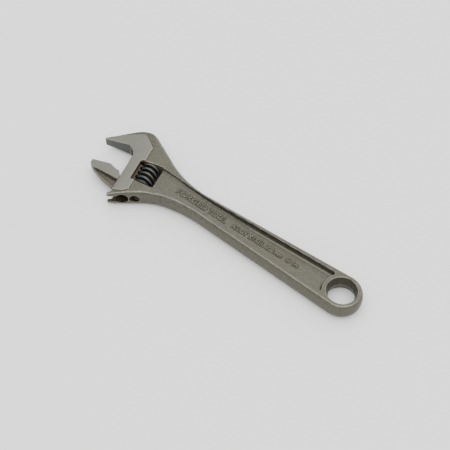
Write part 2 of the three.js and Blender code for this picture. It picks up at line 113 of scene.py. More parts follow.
class WrenchSizes(bpy.types.PropertyGroup):
    """Sizes of what is modelled here; the rest follows the frame."""

    body_grid: FloatProperty(
        name="Body grid", description="Grid size that the forging is rounded off with",
        default=0.22 * MM, unit="LENGTH", precision=5)
    jaw_grid: FloatProperty(
        name="Jaw grid", description="Grid size that the movable jaw is rounded off with",
        default=0.2 * MM, unit="LENGTH", precision=5)
    worm_grid: FloatProperty(
        name="Worm grid", description="Grid size that the worm's thread is rounded off with",
        default=0.13 * MM, unit="LENGTH", precision=5)
    most_triangles: IntProperty(
        name="Most triangles", description="Triangles left in the body or the jaw after thinning",
        default=145000)
    web_half: FloatProperty(
        name="Web", description="Half thickness of the web between the handle's channels",
        default=2.0 * MM, unit="LENGTH", precision=5)
    ramp_start: FloatProperty(
        name="Ramp start", description="Where along the handle the web starts to thicken",
        default=21.07 * MM, unit="LENGTH", precision=5)
    ramp_lean: FloatProperty(
        name="Ramp lean", description="How steeply each side of the web rises towards the head",
        default=math.atan(2.1 / 65), subtype="ANGLE")
    letter_grid: FloatProperty(
        name="Letter grid", description="Grid size that the lettering is rounded off with",
        default=0.16 * MM, unit="LENGTH", precision=5)
    letter_rise: FloatProperty(
        name="Letter rise", description="How far the lettering stands above the web",
        default=0.42 * MM, unit="LENGTH", precision=5)
    worm_radius: FloatProperty(
        name="Worm radius", description="Outside radius of the worm's thread",
        default=6.25 * MM, unit="LENGTH", precision=5)
    worm_root: FloatProperty(
        name="Worm root", description="Radius at the bottom of the worm's thread",
        default=3.95 * MM, unit="LENGTH", precision=5)
    worm_pitch: FloatProperty(
        name="Worm pitch", description="Left-hand advance of the thread in one turn",
        default=3.75 * MM, unit="LENGTH", precision=5)
    worm_crest: FloatProperty(
        name="Worm crest", description="Half width of the thread's crest",
        default=0.55 * MM, unit="LENGTH", precision=5)
    pin_bore: FloatProperty(
        name="Pin bore", description="Radius of the worm's bore",
        default=2.2 * MM, unit="LENGTH", precision=5)
    pin_head: FloatProperty(
        name="Pin head", description="Radius of the pin's slotted head",
        default=2.9 * MM, unit="LENGTH", precision=5)
    pin_head_depth: FloatProperty(
        name="Pin head depth", description="Depth of the pin's slotted head, along the pin",
        default=2.4 * MM, unit="LENGTH", precision=5)
    pin_neck: FloatProperty(
        name="Pin neck", description="Radius of the pin where the worm turns on it",
        default=1.9 * MM, unit="LENGTH", precision=5)
    pin_slot: FloatProperty(
        name="Pin slot", description="Width and depth of the slot in the pin's head",
        default=0.9 * MM, unit="LENGTH", precision=5)
    thread_start: FloatProperty(
        name="Thread start", description="Place of a crest that faces the rack, along the slide",
        default=-5.4 * MM, unit="LENGTH", precision=5)
    spring_seat: FloatProperty(
        name="Spring seat", description="Depth of the spring's seat in the worm",
        default=2.7 * MM, unit="LENGTH", precision=5)
    spring_wire: FloatProperty(
        name="Spring wire", description="Radius of the spring's wire",
        default=0.35 * MM, unit="LENGTH", precision=5)
    spring_coil: FloatProperty(
        name="Spring coil", description="Radius of the spring, to the middle of its wire",
        default=2.6 * MM, unit="LENGTH", precision=5)


class WrenchFinishes(bpy.types.PropertyGroup):
    """Colours of the finishes."""

    forged: FloatVectorProperty(
        name="Forged", description="Plated steel as it left the forge",
        subtype="COLOR", size=3, min=0, max=1, default=(0.103, 0.102, 0.083))
    ground: FloatVectorProperty(
        name="Ground", description="Plated steel that was ground flat first",
        subtype="COLOR", size=3, min=0, max=1, default=(0.200, 0.200, 0.168))
    # Painted shade: this dark colour darkens inward corners, recesses and the web round the raised letters;
    # the bores get a slightly lighter copy of it.
    painted_shade: FloatVectorProperty(
        name="Painted Shade", description="Old oil in corners and recesses",
        subtype="COLOR", size=3, min=0, max=1, default=(0.036, 0.030, 0.019))
    # Partly painted highlight: this light colour stands for bare steel on outer edges and also paints light
    # lines along edges and shoulders.
    wear_and_highlight: FloatVectorProperty(
        name="Wear And Highlight", description="Steel rubbed bright along the edges",
        subtype="COLOR", size=3, min=0, max=1, default=(0.320, 0.316, 0.262))
    black: FloatVectorProperty(
        name="Black", description="Blackened steel of the worm and the pin",
        subtype="COLOR", size=3, min=0, max=1, default=(0.028, 0.030, 0.027))
    # Painted sheen: the crests get a lighter colour than the blackened worm, painting the grey highlight
    # bands along them.
    crest: FloatVectorProperty(
        name="Crest", description="Crests of the worm's thread, rubbed by fingers",
        subtype="COLOR", size=3, min=0, max=1, default=(0.048, 0.051, 0.048))
    # Painted glint, partly bare steel: edges of the worm and pin are lightened to paint bright glints on the
    # thread ends.
    glint: FloatVectorProperty(
        name="Glint", description="Bare steel along the edges of blackened pieces",
        subtype="COLOR", size=3, min=0, max=1, default=(0.32, 0.32, 0.30))
    spring: FloatVectorProperty(
        name="Spring", description="Plain spring wire",
        subtype="COLOR", size=3, min=0, max=1, default=(0.34, 0.33, 0.30))
    gripping: FloatVectorProperty(
        name="Gripping", description="Smooth, hardened steel of the jaws' faces",
        subtype="COLOR", size=3, min=0, max=1, default=(0.072, 0.076, 0.070))
    recess: FloatVectorProperty(
        name="Recess", description="Brown film on walls and hollows that are never rubbed",
        subtype="COLOR", size=3, min=0, max=1, default=(0.098, 0.086, 0.063))
    floor: FloatVectorProperty(
        name="Floor", description="The studio's floor",
        subtype="COLOR", size=3, min=0, max=1, default=(0.90, 0.90, 0.89))


class WrenchStudio(bpy.types.PropertyGroup):
    """Camera and lights."""

    azimuth: FloatProperty(
        name="Azimuth", description="Camera's direction round the wrench",
        default=math.radians(37.78), subtype="ANGLE")
    elevation: FloatProperty(
        name="Elevation", description="Camera's height above the horizon",
        default=math.radians(53.23), subtype="ANGLE")
    distance: FloatProperty(
        name="Distance", description="Camera to the wrench's middle",
        default=0.6684, unit="LENGTH")
    lens: FloatProperty(
        name="Lens", description="Focal length in millimetres", default=84.14)
    target: FloatVectorProperty(
        name="Target", description="Point that the camera looks at",
        subtype="XYZ", unit="LENGTH", size=3, default=(0.00284, 0.00067, 0.0068))
    key_power: FloatProperty(
        name="Key light", description="Power of the large light above the wrench", default=18.0)
    back_power: FloatProperty(
        name="Back light", description="Power of the light behind the wrench", default=3.0)
    world_strength: FloatProperty(
        name="Surround", description="Strength of the plain surround", default=1.05)


# ---- Small tools -------------------------------------------------------------------------


def only(*objects):
    """Select these objects and nothing else, the first of them active."""
    bpy.ops.object.select_all(action="DESELECT")
    for item in objects:
        item.select_set(True)
    bpy.context.view_layer.objects.active = objects[0]


def apply_modifier(item, kind, **values):
    only(item)
    bpy.ops.object.modifier_add(type=kind)
    modifier = item.modifiers[-1]
    for name, value in values.items():
        setattr(modifier, name, value)
    bpy.ops.object.modifier_apply(modifier=modifier.name)


def cut(item, tool, operation):
    """Boolean with a tool that is used up."""
    apply_modifier(item, "BOOLEAN", operation=operation, solver="EXACT", object=tool)
    only(tool)
    bpy.ops.object.delete()


def merged_copy(node, name):
    """A copy of a frame node's mesh, its loose triangles merged."""
    item = bpy.data.objects.new(name, frame["nodes"][node].data.copy())
    bpy.context.scene.collection.objects.link(item)
    item.data.materials.clear()
    only(item)
    bpy.ops.object.mode_set(mode="EDIT")
    bpy.ops.mesh.select_all(action="SELECT")
    bpy.ops.mesh.remove_doubles(threshold=1e-6)
    bpy.ops.object.mode_set(mode="OBJECT")
    return item


def round_off(item, grid, passes, most_triangles, kept=None):
    """Give a solid the soft edges of a forging, and thin its flat stretches but not its kept points."""
    apply_modifier(item, "REMESH", mode="VOXEL", voxel_size=grid, use_smooth_shade=True)
    apply_modifier(item, "SMOOTH", factor=0.5, iterations=passes)
    triangles = 2 * len(item.data.polygons)
    if triangles <= most_triangles:
        apply_modifier(item, "TRIANGULATE")
        return
    group_name = ""
    if kept is not None:
        group_name = "thinned"
        thinned = np.flatnonzero(~kept(vertex_places(item)))
        item.vertex_groups.new(name=group_name).add(thinned.tolist(), 1.0, "REPLACE")
    apply_modifier(item, "DECIMATE", decimate_type="COLLAPSE", ratio=most_triangles / triangles,
                   vertex_group=group_name)
    item.vertex_groups.clear()


def vertex_places(item):
    place = np.zeros(len(item.data.vertices) * 3, np.float32)
    item.data.vertices.foreach_get("co", place)
    return place.reshape(-1, 3)


def to_slide(item):
    """Stand a shape drawn in millimetres along +Z on the slide's direction, through the worm's centre."""
    turn = Matrix((JAW_OUT, UP, SLIDE_UP)).transposed()
    item.matrix_world = Matrix.Translation(WORM_CENTRE) @ turn.to_4x4() @ Matrix.Scale(MM, 4)
    only(item)
    bpy.ops.object.transform_apply(location=True, rotation=True, scale=True)


def drawn_line(name, points, closed):
    """A line through [radius, height] points, drawn from one point to the next."""
    bpy.ops.object.select_all(action="DESELECT")
    bpy.ops.mesh.primitive_plane_add(size=1.0)
    item = bpy.context.object
    item.name = name
    bpy.ops.object.mode_set(mode="EDIT")
    bpy.ops.mesh.select_all(action="SELECT")
    bpy.ops.mesh.merge(type="CENTER")
    bpy.ops.transform.translate(value=(points[0][0], 0, points[0][1]))
    for before, after in zip(points, points[1:]):
        step = (after[0] - before[0], 0, after[1] - before[1])
        bpy.ops.mesh.extrude_vertices_move(TRANSFORM_OT_translate={"value": step})
    if closed:
        bpy.ops.mesh.select_all(action="DESELECT")
        bpy.ops.object.mode_set(mode="OBJECT")
        item.data.vertices[0].select = True
        item.data.vertices[len(points) - 1].select = True
        bpy.ops.object.mode_set(mode="EDIT")
        bpy.ops.mesh.edge_face_add()
    return item


def spun(name, profile, steps):
    """A solid turned about +Z from [radius, height] points, closed by the axis or by its own loop."""
    item = drawn_line(name, profile, profile[0][0] > 0)
    bpy.ops.mesh.select_all(action="SELECT")
    bpy.ops.mesh.spin(steps=steps, angle=2 * math.pi, center=(0, 0, 0), axis=(0, 0, 1))
    bpy.ops.mesh.select_all(action="SELECT")
    bpy.ops.mesh.remove_doubles(threshold=1e-4)
    bpy.ops.mesh.normals_make_consistent(inside=False)
    bpy.ops.object.mode_set(mode="OBJECT")
    return item


def helix(name, section, pitch, turns, first_height, steps):
    """A closed section in [radius, height] carried round +Z, falling by one pitch a turn."""
    points = [(radius, height + first_height) for radius, height in section]
    item = drawn_line(name, points, True)
    bpy.ops.object.mode_set(mode="OBJECT")
    apply_modifier(item, "SCREW", axis="Z", angle=2 * math.pi, screw_offset=-pitch, iterations=turns,
                   steps=steps, render_steps=steps)
    bpy.ops.object.mode_set(mode="EDIT")
    bpy.ops.mesh.select_all(action="SELECT")
    bpy.ops.mesh.remove_doubles(threshold=1e-4)
    bpy.ops.mesh.fill_holes(sides=0)
    bpy.ops.mesh.normals_make_consistent(inside=False)
    bpy.ops.object.mode_set(mode="OBJECT")
    return item


def along_slide(name):
    """Lowest and highest place of a frame node along the slide, in millimetres from the worm's centre."""
    along = (vertex_places(frame["nodes"][name]) - np.array(WORM_CENTRE)) @ np.array(SLIDE_UP) / MM
    return float(along.min()), float(along.max())


def slide_coordinates(points):
    """u out along the jaws, v along the slide and height above mid-thickness, for points in metres."""
    local = points - np.array(WORM_CENTRE)
    u = local @ np.array(JAW_OUT) + WORM_U
    v = local @ np.array(SLIDE_UP)
    return u, v, local[:, 2]


def between(value, limits):
    return (value > limits[0]) & (value < limits[1])


def ground_flat(u, z, normal):
    """Which faces lie on the tilted flats that were ground on both sides of the head."""
    half = TIP_HALF + JAW_LEAN * (JAW_REACH - u)
    return (np.abs(z) > half - NEAR) & (np.abs(normal[:, 2]) > 0.9)


def face_values(item):
    """Centres and normals of the faces, as arrays."""
    count = len(item.data.polygons)
    centre = np.zeros(count * 3, np.float32)
    normal = np.zeros(count * 3, np.float32)
    item.data.polygons.foreach_get("center", centre)
    item.data.polygons.foreach_get("normal", normal)
    return centre.reshape(-1, 3), normal.reshape(-1, 3)


def mark_edges(item, sharpest):
    """Store on each face how sharply it bends, outwards as edge and inwards as corner."""
    mesh = item.data
    mesh.calc_loop_triangles()
    corner = np.zeros(len(mesh.loop_triangles) * 3, np.int32)
    mesh.loop_triangles.foreach_get("vertices", corner)
    owner = np.zeros(len(mesh.loop_triangles), np.int32)
    mesh.loop_triangles.foreach_get("polygon_index", owner)
    place = vertex_places(item)
    normal = np.zeros(len(mesh.vertices) * 3, np.float32)
    mesh.vertex_normals.foreach_get("vector", normal)
    normal = normal.reshape(-1, 3)
    tri = corner.reshape(-1, 3)
    bend = np.zeros(len(tri))
    for a, b in ((0, 1), (1, 2), (2, 0)):
        along = place[tri[:, b]] - place[tri[:, a]]
        turn = normal[tri[:, b]] - normal[tri[:, a]]
        bend += (along * turn).sum(1) / np.maximum((along * along).sum(1), 1e-14) / 3
    value = np.zeros(len(mesh.polygons))
    np.add.at(value, owner, bend)
    share = value * sharpest
    for name, mask in (("edge", np.clip(share, 0, 1)), ("corner", np.clip(-share, 0, 1))):
        layer = mesh.attributes.new(name, "FLOAT", "FACE")
        layer.data.foreach_set("value", mask.astype(np.float32))


def paint_shoulder_highlight(item, level, spread_to, share):
    """Mark as edge the faces that have just started to turn down from flat, to paint a highlight where light
    from above catches the shoulders of a forging.
    """
    _, normal = face_values(item)
    layer = item.data.attributes["edge"]
    edge = np.zeros(len(normal), np.float32)
    layer.data.foreach_get("value", edge)
    shoulder_highlight = share * np.exp(-((np.abs(normal[:, 2]) - level) / spread_to) ** 2)
    layer.data.foreach_set("value", np.maximum(edge, shoulder_highlight).astype(np.float32))


def finish_piece(item, body, node):
    only(item)
    bpy.ops.object.shade_smooth()
    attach(item, body)
    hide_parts(node)


# ---- Finishes ----------------------------------------------------------------------------


def new_group(name, inputs, outputs):
    group = bpy.data.node_groups.new(name, "ShaderNodeTree")
    for label, kind, value in inputs:
        socket = group.interface.new_socket(label, in_out="INPUT", socket_type=kind)
        socket.default_value = value
    for label, kind in outputs:
        group.interface.new_socket(label, in_out="OUTPUT", socket_type=kind)
    return group, group.nodes.new("NodeGroupInput"), group.nodes.new("NodeGroupOutput")


def node(tree, kind, links=None, **values):
    """Add a node; links maps its inputs, by name or number, to sockets or to plain values."""
    made = tree.nodes.new(kind)
    for name, value in values.items():
        setattr(made, name, value)
    for key, value in (links or {}).items():
        if isinstance(value, bpy.types.NodeSocket):
            tree.links.new(value, made.inputs[key])
        else:
            made.inputs[key].default_value = value
    return made


def maths(tree, operation, first, second=0.0, clamp=False):
    made = node(tree, "ShaderNodeMath", {0: first, 1: second}, operation=operation, use_clamp=clamp)
    return made.outputs[0]


def spread(tree, value, low, high, to_low=0.0, to_high=1.0):
    links = {"Value": value, "From Min": low, "From Max": high, "To Min": to_low, "To Max": to_high}
    return node(tree, "ShaderNodeMapRange", links, clamp=True).outputs["Result"]


def noise(tree, vector, scale, detail=3.0, rough=0.55):
    links = {"Vector": vector, "Scale": scale, "Detail": detail, "Roughness": rough}
    return node(tree, "ShaderNodeTexNoise", links).outputs["Fac"]


def blend_colours(tree, factor, first, second):
    mix = tree.nodes.new("ShaderNodeMix")
    mix.data_type = "RGBA"
    for key, value in ((0, factor), (6, first), (7, second)):
        if isinstance(value, bpy.types.NodeSocket):
            tree.links.new(value, mix.inputs[key])
        else:
            mix.inputs[key].default_value = value
    return mix.outputs[2]


def make_grain_group():
    """Fine grain, blotches and slow drift of a plated forging."""
    group, given, result = new_group(
        "metal_grain",
        [("Grain Size", "NodeSocketFloat", 2600.0), ("Blotch Size", "NodeSocketFloat", 640.0)],
        [("Grain", "NodeSocketFloat"), ("Blotch", "NodeSocketFloat"), ("Drift", "NodeSocketFloat")])
    place = node(group, "ShaderNodeTexCoord").outputs["Object"]
    grain = noise(group, place, given.outputs["Grain Size"], 4.0, 0.65)
    blotch = noise(group, place, given.outputs["Blotch Size"], 3.0, 0.6)
    drift = noise(group, place, 34.0, 2.0, 0.5)
    group.links.new(spread(group, grain, 0.3, 0.7), result.inputs["Grain"])
    group.links.new(spread(group, blotch, 0.32, 0.68), result.inputs["Blotch"])
    group.links.new(spread(group, drift, 0.3, 0.7), result.inputs["Drift"])
    return group


def make_wear_and_light_group():
    """Scuffed outer edges with a painted highlight along them, and painted shade in inward corners, broken
    up so that they don't run evenly.
    """
    group, given, result = new_group(
        "edge_wear_and_light",
        [("Wear And Light", "NodeSocketFloat", 0.6), ("Painted Shade", "NodeSocketFloat", 0.6)],
        [("Wear And Highlight", "NodeSocketFloat"), ("Shade Mask", "NodeSocketFloat")])
    place = node(group, "ShaderNodeTexCoord").outputs["Object"]
    edge = node(group, "ShaderNodeAttribute", attribute_name="edge").outputs["Fac"]
    corner = node(group, "ShaderNodeAttribute", attribute_name="corner").outputs["Fac"]
    patch = spread(group, noise(group, place, 420.0, 4.0, 0.6), 0.35, 0.62)
    # Scuffed outer edges, lighter also as a painted highlight along each edge.
    wear_and_highlight = maths(group, "MULTIPLY", spread(group, edge, 0.1, 0.5), maths(group, "MULTIPLY_ADD", patch, 0.6))
    wear_and_highlight = maths(group, "MULTIPLY", wear_and_highlight, given.outputs["Wear And Light"], clamp=True)
    # Painted shade: how far inward corners are darkened.
    shade_mask = maths(group, "MULTIPLY", spread(group, corner, 0.05, 0.6), given.outputs["Painted Shade"], clamp=True)
    group.links.new(wear_and_highlight, result.inputs["Wear And Highlight"])
    group.links.new(shade_mask, result.inputs["Shade Mask"])
    return group


def make_lines_group():
    """Fine lines left by a grinding wheel, all one way."""
    group, given, result = new_group(
        "grinding_lines",
        [("Turn", "NodeSocketVector", (0.0, 0.0, 0.0)), ("Fineness", "NodeSocketFloat", 3.0)],
        [("Lines", "NodeSocketFloat")])
    place = node(group, "ShaderNodeTexCoord").outputs["Object"]
    turned = node(group, "ShaderNodeMapping", {"Vector": place, "Rotation": given.outputs["Turn"]})
    thin = {"Vector": turned.outputs[0], "Scale": (60.0, 1600.0, 1600.0)}
    stretched = node(group, "ShaderNodeMapping", thin)
    lines = noise(group, stretched.outputs[0], given.outputs["Fineness"], 3.0, 0.6)
    group.links.new(spread(group, lines, 0.3, 0.7), result.inputs["Lines"])
    return group


def group_node(tree, group, values):
    made = tree.nodes.new("ShaderNodeGroup")
    made.node_tree = group
    for name, value in values.items():
        made.inputs[name].default_value = value
    return made


def rgba(colour, factor=1.0):
    return tuple(min(1.0, channel * factor) for channel in colour) + (1.0,)


def new_material(name, metallic, roughness):
    material = bpy.data.materials.new(name)
    material.use_nodes = True
    tree = material.node_tree
    shader = tree.nodes["Principled BSDF"]
    shader.inputs["Metallic"].default_value = metallic
    shader.inputs["Roughness"].default_value = roughness
    return material, tree, shader


def bumped(tree, shader, height, depth, distance):
    bump = node(tree, "ShaderNodeBump", {"Height": height, "Strength": depth, "Distance": distance})
    tree.links.new(bump.outputs["Normal"], shader.inputs["Normal"])


def forged_steel(name, colour, painted_shade, wear_and_highlight_colour, rough, wear_and_light, bump_depth, metallic=0.9):
    """Plated forging: grainy, blotched, scuffed at its edges with a painted highlight along them, and with
    painted shade in its corners.
    """
    material, tree, shader = new_material(name, metallic, rough)
    grain = group_node(tree, finishes["grain"], {})
    wear_and_light_node = group_node(tree, finishes["wear_and_light"], {"Wear And Light": wear_and_light, "Painted Shade": 0.75})
    base = blend_colours(tree, grain.outputs["Blotch"], rgba(colour, 0.6), rgba(colour, 1.3))
    brown = (colour[0] * 0.98, colour[1] * 0.9, colour[2] * 0.74, 1.0)
    drift_share = maths(tree, "MULTIPLY", grain.outputs["Drift"], 0.45)
    drifted = blend_colours(tree, drift_share, base, brown)
    grain_share = maths(tree, "MULTIPLY", grain.outputs["Grain"], 0.35)
    grainy = blend_colours(tree, grain_share, drifted, rgba(colour, 1.25))
    # Painted shade: inward corners and the web round the letters are darkened towards the painted shade
    # colour.
    shaded_base = blend_colours(tree, wear_and_light_node.outputs["Shade Mask"], grainy, rgba(painted_shade))
    # Scuffed edges, and the painted highlight along edges and shoulders.
    final = blend_colours(tree, wear_and_light_node.outputs["Wear And Highlight"], shaded_base, rgba(wear_and_highlight_colour))
    tree.links.new(final, shader.inputs["Base Color"])
    roughness = spread(tree, grain.outputs["Blotch"], 0.0, 1.0, rough - 0.06, rough + 0.08)
    polished = maths(tree, "SUBTRACT", roughness, maths(tree, "MULTIPLY", wear_and_light_node.outputs["Wear And Highlight"], 0.12))
    tree.links.new(polished, shader.inputs["Roughness"])
    blotch_height = maths(tree, "MULTIPLY", grain.outputs["Blotch"], 0.8)
    height = maths(tree, "ADD", grain.outputs["Grain"], blotch_height)
    bumped(tree, shader, height, bump_depth, 0.11 * MM)
    return material


def ground_steel(name, colour, wear_and_highlight_colour, rough, turn):
    """Plated steel over a ground flat: even, with fine lines one way."""
    material, tree, shader = new_material(name, 0.9, rough)
    grain = group_node(tree, finishes["grain"], {"Blotch Size": 150.0})
    wear_and_light_node = group_node(tree, finishes["wear_and_light"], {"Wear And Light": 0.5, "Painted Shade": 0.4})
    lines = group_node(tree, finishes["lines"], {"Turn": turn})
    base = blend_colours(tree, lines.outputs["Lines"], rgba(colour, 0.93), rgba(colour, 1.06))
    blotch_share = maths(tree, "MULTIPLY", grain.outputs["Blotch"], 0.3)
    blotched = blend_colours(tree, blotch_share, base, rgba(colour, 0.84))
    # Scuffed edges of the flats, with a painted highlight along them.
    final = blend_colours(tree, wear_and_light_node.outputs["Wear And Highlight"], blotched, rgba(wear_and_highlight_colour))
    tree.links.new(final, shader.inputs["Base Color"])
    roughness = spread(tree, lines.outputs["Lines"], 0.0, 1.0, rough - 0.04, rough + 0.06)
    tree.links.new(roughness, shader.inputs["Roughness"])
    grain_height = maths(tree, "MULTIPLY", grain.outputs["Grain"], 0.5)
    height = maths(tree, "ADD", grain_height, lines.outputs["Lines"])
    bumped(tree, shader, height, 0.25, 0.02 * MM)
    return material


def black_steel(name, colour, wear_and_highlight_colour, rough, wear_and_light):
    """Blackened steel with an oil film, lighter at its edges as bare steel and painted glints, and with
    painted shade in its corners.
    """
    material, tree, shader = new_material(name, 0.75, rough)
    grain = group_node(tree, finishes["grain"], {"Grain Size": 3200.0, "Blotch Size": 500.0})
    wear_and_light_node = group_node(tree, finishes["wear_and_light"], {"Wear And Light": wear_and_light, "Painted Shade": 0.8})
    base = blend_colours(tree, grain.outputs["Blotch"], rgba(colour, 0.7), rgba(colour, 1.6))
    # Painted shade: inward corners are darkened to a darker copy of the base colour.
    shaded_base = blend_colours(tree, wear_and_light_node.outputs["Shade Mask"], base, rgba(colour, 0.4))
    final = blend_colours(tree, wear_and_light_node.outputs["Wear And Highlight"], shaded_base, rgba(wear_and_highlight_colour))
    tree.links.new(final, shader.inputs["Base Color"])
    roughness = spread(tree, grain.outputs["Blotch"], 0.0, 1.0, rough - 0.06, rough + 0.1)
    tree.links.new(roughness, shader.inputs["Roughness"])
    bumped(tree, shader, grain.outputs["Grain"], 0.3, 0.03 * MM)
    return material


finishes = {}


def make_finishes():
    """Build the shared effects and the materials once, the first time a piece asks for them."""
    if finishes:
        return
    colours = bpy.context.scene.wrench_finishes
    finishes["grain"] = make_grain_group()
    finishes["wear_and_light"] = make_wear_and_light_group()
    finishes["lines"] = make_lines_group()
    forged, painted_shade, wear_and_highlight = colours.forged, colours.painted_shade, colours.wear_and_highlight
    across = (0.0, 0.0, -math.atan2(SLIDE_UP.y, SLIDE_UP.x))
    upright = (0.0, math.pi / 2, 0.0)
    # Oil film and painted shade: the bores, slot, pin hole and the jaw's hidden parts get this dark colour.
    bore_oil_and_shade = [channel * 1.2 for channel in painted_shade]
    finishes["forged"] = forged_steel(
        "forged_steel", forged, painted_shade, wear_and_highlight, rough=0.50, wear_and_light=0.75, bump_depth=0.5)
    finishes["ground"] = ground_steel("ground_steel", colours.ground, wear_and_highlight, rough=0.42, turn=across)
    finishes["gripping"] = ground_steel("gripping_face", colours.gripping, wear_and_highlight, rough=0.36, turn=upright)
    finishes["recess"] = forged_steel(
        "recess_wall", colours.recess, painted_shade, forged, rough=0.6, wear_and_light=0.4, bump_depth=0.4, metallic=0.35)
    finishes["crest"] = black_steel("thread_crest", colours.crest, colours.ground, rough=0.44, wear_and_light=0.4)
    finishes["bored"] = black_steel("shaded_oily_bore", bore_oil_and_shade, forged, rough=0.5, wear_and_light=0.5)
    # Blackened steel whose edges get painted glints as well as bare steel.
    finishes["black"] = black_steel("black_steel", colours.black, colours.glint, rough=0.33, wear_and_light=0.8)
    finishes["spring"] = forged_steel(
        "spring_wire", colours.spring, painted_shade, wear_and_highlight, rough=0.35, wear_and_light=0.3, bump_depth=0.15)


def give_materials(item, names, index):
    for name in names:
        item.data.materials.append(finishes[name])
    item.data.polygons.foreach_set("material_index", index.astype(np.int32))
    item.data.update()


# ---- Pieces ------------------------------------------------------------------------------


def raised_word(word, sizes, underside):
    """One word as a closed solid that stands out of the web and follows its slope."""
    text, middle, width, height = word
    bpy.ops.object.select_all(action="DESELECT")
    bpy.ops.object.text_add()
    item = bpy.context.object
    item.data.body = text
    item.data.size = 1.0
    item.data.align_x = "CENTER"
    item.data.align_y = "CENTER"
    item.data.extrude = 0.5
    item.data.offset = 0.012
    item.data.resolution_u = 4
    only(item)
    bpy.ops.object.convert(target="MESH")
    item = bpy.context.object
    before_ramp = max(0.0, sizes.ramp_start - middle * MM)
    lean = sizes.ramp_lean if before_ramp > 0 else 0.0
    web = MID_HEIGHT + sizes.web_half + before_ramp * math.tan(lean)
    sunk = 0.5 * MM
    tall = sizes.letter_rise + sunk
    item.matrix_world = (
        Matrix.Translation((middle * MM, HANDLE_MIDDLE, web + sizes.letter_rise - tall / 2))
        @ Matrix.Rotation(lean, 4, "Y")
        @ Matrix.Diagonal((width * MM / item.dimensions.x, height * MM, tall, 1.0))
    )
    if underside:
        flip = Matrix.Translation((0, 2 * HANDLE_MIDDLE, 2 * MID_HEIGHT)) @ Matrix.Diagonal((1, -1, -1, 1))
        item.matrix_world = flip @ item.matrix_world
    only(item)
    bpy.ops.object.transform_apply(location=True, rotation=True, scale=True)
    return item


def near_words(points):
    """Which points lie on the stretch of handle that carries the words."""
    beside = np.abs(points[:, 1] - HANDLE_MIDDLE) < WORDS_HALF
    return beside & between(points[:, 0], WORDS_ALONG)


def raised_lettering(sizes):
    """All the words, softened, as one mesh."""
    words = [raised_word(word, sizes, False) for word in FRONT_WORDS]
    words += [raised_word(word, sizes, True) for word in BACK_WORDS]
    only(*words)
    bpy.ops.object.join()
    round_off(words[0], sizes.letter_grid, passes=1, most_triangles=40000)
    return words[0]


def shade_round_letters(lettering, body, step, reach):
    """Mark as corner the faces of the web within reach of a letter, on the letter's own side, so that
    painted shade darkens the web round each letter.
    """
    letters, _ = face_values(lettering)
    centre, normal = face_values(body)
    layer = body.data.attributes["corner"]
    corner = np.zeros(len(centre), np.float32)
    layer.data.foreach_get("value", corner)
    low = letters[:, :2].min(0) - 2 * reach
    shape = tuple(np.ceil((letters[:, :2].max(0) + 2 * reach - low) / step).astype(int))
    spread_to = round(reach / step)
    for side in (1, -1):
        inked = np.zeros(shape, bool)
        own = letters[(letters[:, 2] - MID_HEIGHT) * side > 0]
        place = ((own[:, :2] - low) / step).astype(int)
        inked[place[:, 0], place[:, 1]] = True
        near = np.zeros(shape, np.float32)
        for across in range(-spread_to, spread_to + 1):
            for along in range(-spread_to, spread_to + 1):
                share = 1 - math.hypot(across, along) / (spread_to + 1)
                moved = np.roll(inked, (across, along), (0, 1)) * max(0.0, share)
                near = np.maximum(near, moved)
        cell = ((centre[:, :2] - low) / step).astype(int)
        within = ((cell >= 0) & (cell < shape)).all(1) & (normal[:, 2] * side > 0.8)
        letter_shade = near[cell[within, 0], cell[within, 1]]
        corner[within] = np.maximum(corner[within], 0.85 * letter_shade)
    layer.data.foreach_set("value", corner)


class WRENCH_OT_forged_body(bpy.types.Operator):
    """Forging of the handle, head and fixed jaw, with raised words in its channels"""

    bl_idname = "wrench.forged_body"
    bl_label = "Forged body"

    def execute(self, context):
        make_finishes()
        sizes = context.scene.wrench_sizes
        body = merged_copy("wrench_body", "forged_body")
        round_off(body, sizes.body_grid, passes=6, most_triangles=sizes.most_triangles, kept=near_words)
        mark_edges(body, sharpest=0.6 * MM)
        # Painted highlight along the shoulders where the faces start to turn down.
        paint_shoulder_highlight(body, level=0.89, spread_to=0.05, share=0.36)
        lettering = raised_lettering(sizes)
        mark_edges(lettering, sharpest=0.15 * MM)
        # Painted shade on the web round the raised letters.
        shade_round_letters(lettering, body, step=0.15 * MM, reach=0.9 * MM)
        only(body, lettering)
        bpy.ops.object.join()
        centre, normal = face_values(body)
        u, v, z = slide_coordinates(centre)
        bore = (np.hypot(u - BAR_U, z) < BORE_RADIUS) & (v < BORE_END_V) & (u < -1 * MM)
        slot = (np.abs(z) < SLOT_HALF) & between(u, SLOT_U) & (v < SLOT_END_V)
        pin_hole = (np.hypot(u - WORM_U, z) < PIN_HEAD_RADIUS) & (v < PIN_HEAD_END_V)
        faces_down = normal @ np.array(SLIDE_UP) < -0.95
        grip = faces_down & (np.abs(v - FIXED_FACE_V) < NEAR) & (u > 5 * MM)
        slide_face = (normal @ np.array(JAW_OUT) > 0.95) & (np.abs(u) < NEAR)
        wall = between(u, WINDOW_U) & between(v, WINDOW_V) & (np.abs(normal[:, 2]) < 0.6)
        index = np.zeros(len(centre))
        index[ground_flat(u, z, normal) & (u > GROUND_U)] = 1
        index[grip | slide_face] = 2
        # Oil film and painted shade inside the bores, the slot and the pin hole.
        index[bore | slot | pin_hole] = 3
        index[wall] = 4
        give_materials(body, ["forged", "ground", "gripping", "bored", "recess"], index)
        finish_piece(body, "body", "wrench_body")
        return {"FINISHED"}


